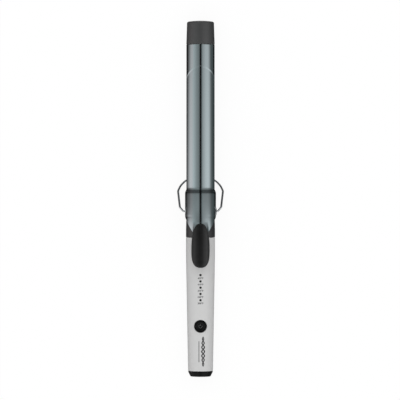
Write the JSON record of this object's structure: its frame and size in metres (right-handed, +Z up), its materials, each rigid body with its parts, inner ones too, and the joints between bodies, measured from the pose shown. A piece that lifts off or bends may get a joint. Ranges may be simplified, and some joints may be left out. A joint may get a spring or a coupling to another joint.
{
  "type": "curling iron",
  "caption": "Mains curling iron with a heated round barrel, sprung hair clamp with thumb lever, folding wire stand, and a handle with power button and swivelling cord inlet.",
  "frame": {"origin": "centre of the bounding box in plan, on the surface that the iron lies on with its clamp upwards", "axes": "+Y along the barrel from the handle to the cool tip, +Z up out of the clamp side, +X to the right"},
  "size_m": [0.054, 0.409, 0.0557],
  "materials": {
    "barrel_metal": "titanium-toned hard coat, satin-gloss, drawn along the barrel",
    "clamp_metal": "pressed steel in the barrel's titanium tone, satin-gloss",
    "tip_plastic": "charcoal heat-proof plastic, fine matte grain",
    "pad_plastic": "black soft-touch plastic, dished, faint grip lines",
    "collar_plastic": "dark grey satin plastic",
    "handle_plastic": "light warm-grey moulded plastic, satin",
    "cap_plastic": "black gloss plastic",
    "button_plastic": "black plastic, satin cap in a gloss ring",
    "stand_chrome": "bright chromed wire",
    "hinge_metal": "bright turned bush",
    "window_plastic": "smoked light guide",
    "spreader_aluminium": "as extruded",
    "heater_ceramic": "unglazed",
    "mica": "pressed mica sheet",
    "spring_steel": "rolled spring strip",
    "screw_steel": "zinc plated",
    "contact_brass": "bare stamped",
    "board_laminate": "green solder mask",
    "part_plastic": "moulded component bodies",
    "lead_red": "silicone-sheathed wire",
    "lead_blue": "silicone-sheathed wire",
    "lead_white": "glass-braid sleeve"
  },
  "bodies": {
    "iron": {"barrel_seat": "heater_ceramic", "barrel_tube": "barrel_metal", "board_screw_front": "screw_steel", "board_screw_rear": "screw_steel", "button_bezel": "button_plastic", "circuit_board": "board_laminate", "clamp_spring": "spring_steel", "collar_screw_left": "screw_steel", "collar_screw_right": "screw_steel", "contact_blade_live": "contact_brass", "contact_blade_neutral": "contact_brass", "contact_carrier": "heater_ceramic", "cool_tip": "tip_plastic", "end_cap": "cap_plastic", "filter_capacitor": "part_plastic", "handle_bottom_shell": "handle_plastic", "handle_top_shell": "handle_plastic", "heat_spreader_bottom": "spreader_aluminium", "heat_spreader_top": "spreader_aluminium", "heater_lead_live": "lead_red", "heater_lead_neutral": "lead_blue", "heater_plate": "heater_ceramic", "hinge_bush_left": "hinge_metal", "hinge_bush_right": "hinge_metal", "led_1": "part_plastic", "led_2": "part_plastic", "led_3": "part_plastic", "led_4": "part_plastic", "led_5": "part_plastic", "light_guide": "window_plastic", "mica_sheet_bottom": "mica", "mica_sheet_top": "mica", "microcontroller": "part_plastic", "nose_collar": "collar_plastic", "sensor_lead": "lead_white", "shell_screw_front": "screw_steel", "shell_screw_rear": "screw_steel", "spreader_spring_left": "spring_steel", "spreader_spring_right": "spring_steel", "spring_screw": "screw_steel", "supply_lead_live": "lead_red", "supply_lead_neutral": "lead_blue", "swivel_retainer": "screw_steel", "tact_switch": "part_plastic", "thermal_fuse": "screw_steel", "thermistor": "heater_ceramic", "tip_plug": "heater_ceramic", "tip_screw": "screw_steel", "triac": "part_plastic"},
    "clamp": {"clamp_plate": "clamp_metal", "thumb_pad": "pad_plastic", "lever_cover": "pad_plastic", "lever_screw_front": "screw_steel", "lever_screw_rear": "screw_steel"},
    "stand": {"stand_wire": "stand_chrome"},
    "button": {"power_button": "button_plastic", "switch_plunger": "part_plastic"},
    "swivel": {"cord_swivel": "cap_plastic", "slip_ring_live": "contact_brass", "slip_ring_neutral": "contact_brass"}
  },
  "joints": [
    {"name": "clamp_hinge", "type": "hinge", "parent": "iron", "child": "clamp", "pos_m": [0, -0.01455, 0.01895], "axis": [1, 0, 0], "range_deg": [0, 12], "stiffness_Nm_per_rad": 0.8, "springref_deg": -34.38, "deforming": ["clamp_spring"]},
    {"name": "stand_hinge", "type": "hinge", "parent": "iron", "child": "stand", "pos_m": [0, -0.01455, 0.01895], "axis": [-1, 0, 0], "range_deg": [0, 125]},
    {"name": "power_button_press", "type": "slide", "parent": "iron", "child": "button", "axis": [0, 0, -1], "range_m": [0, 0.0006], "stiffness_N_per_m": 2500, "springref_m": -0.0003},
    {"name": "cord_swivel_spin", "type": "hinge", "parent": "iron", "child": "swivel", "pos_m": [0, -0.195, 0.01895], "axis": [0, 1, 0], "continuous": true}
  ]
}
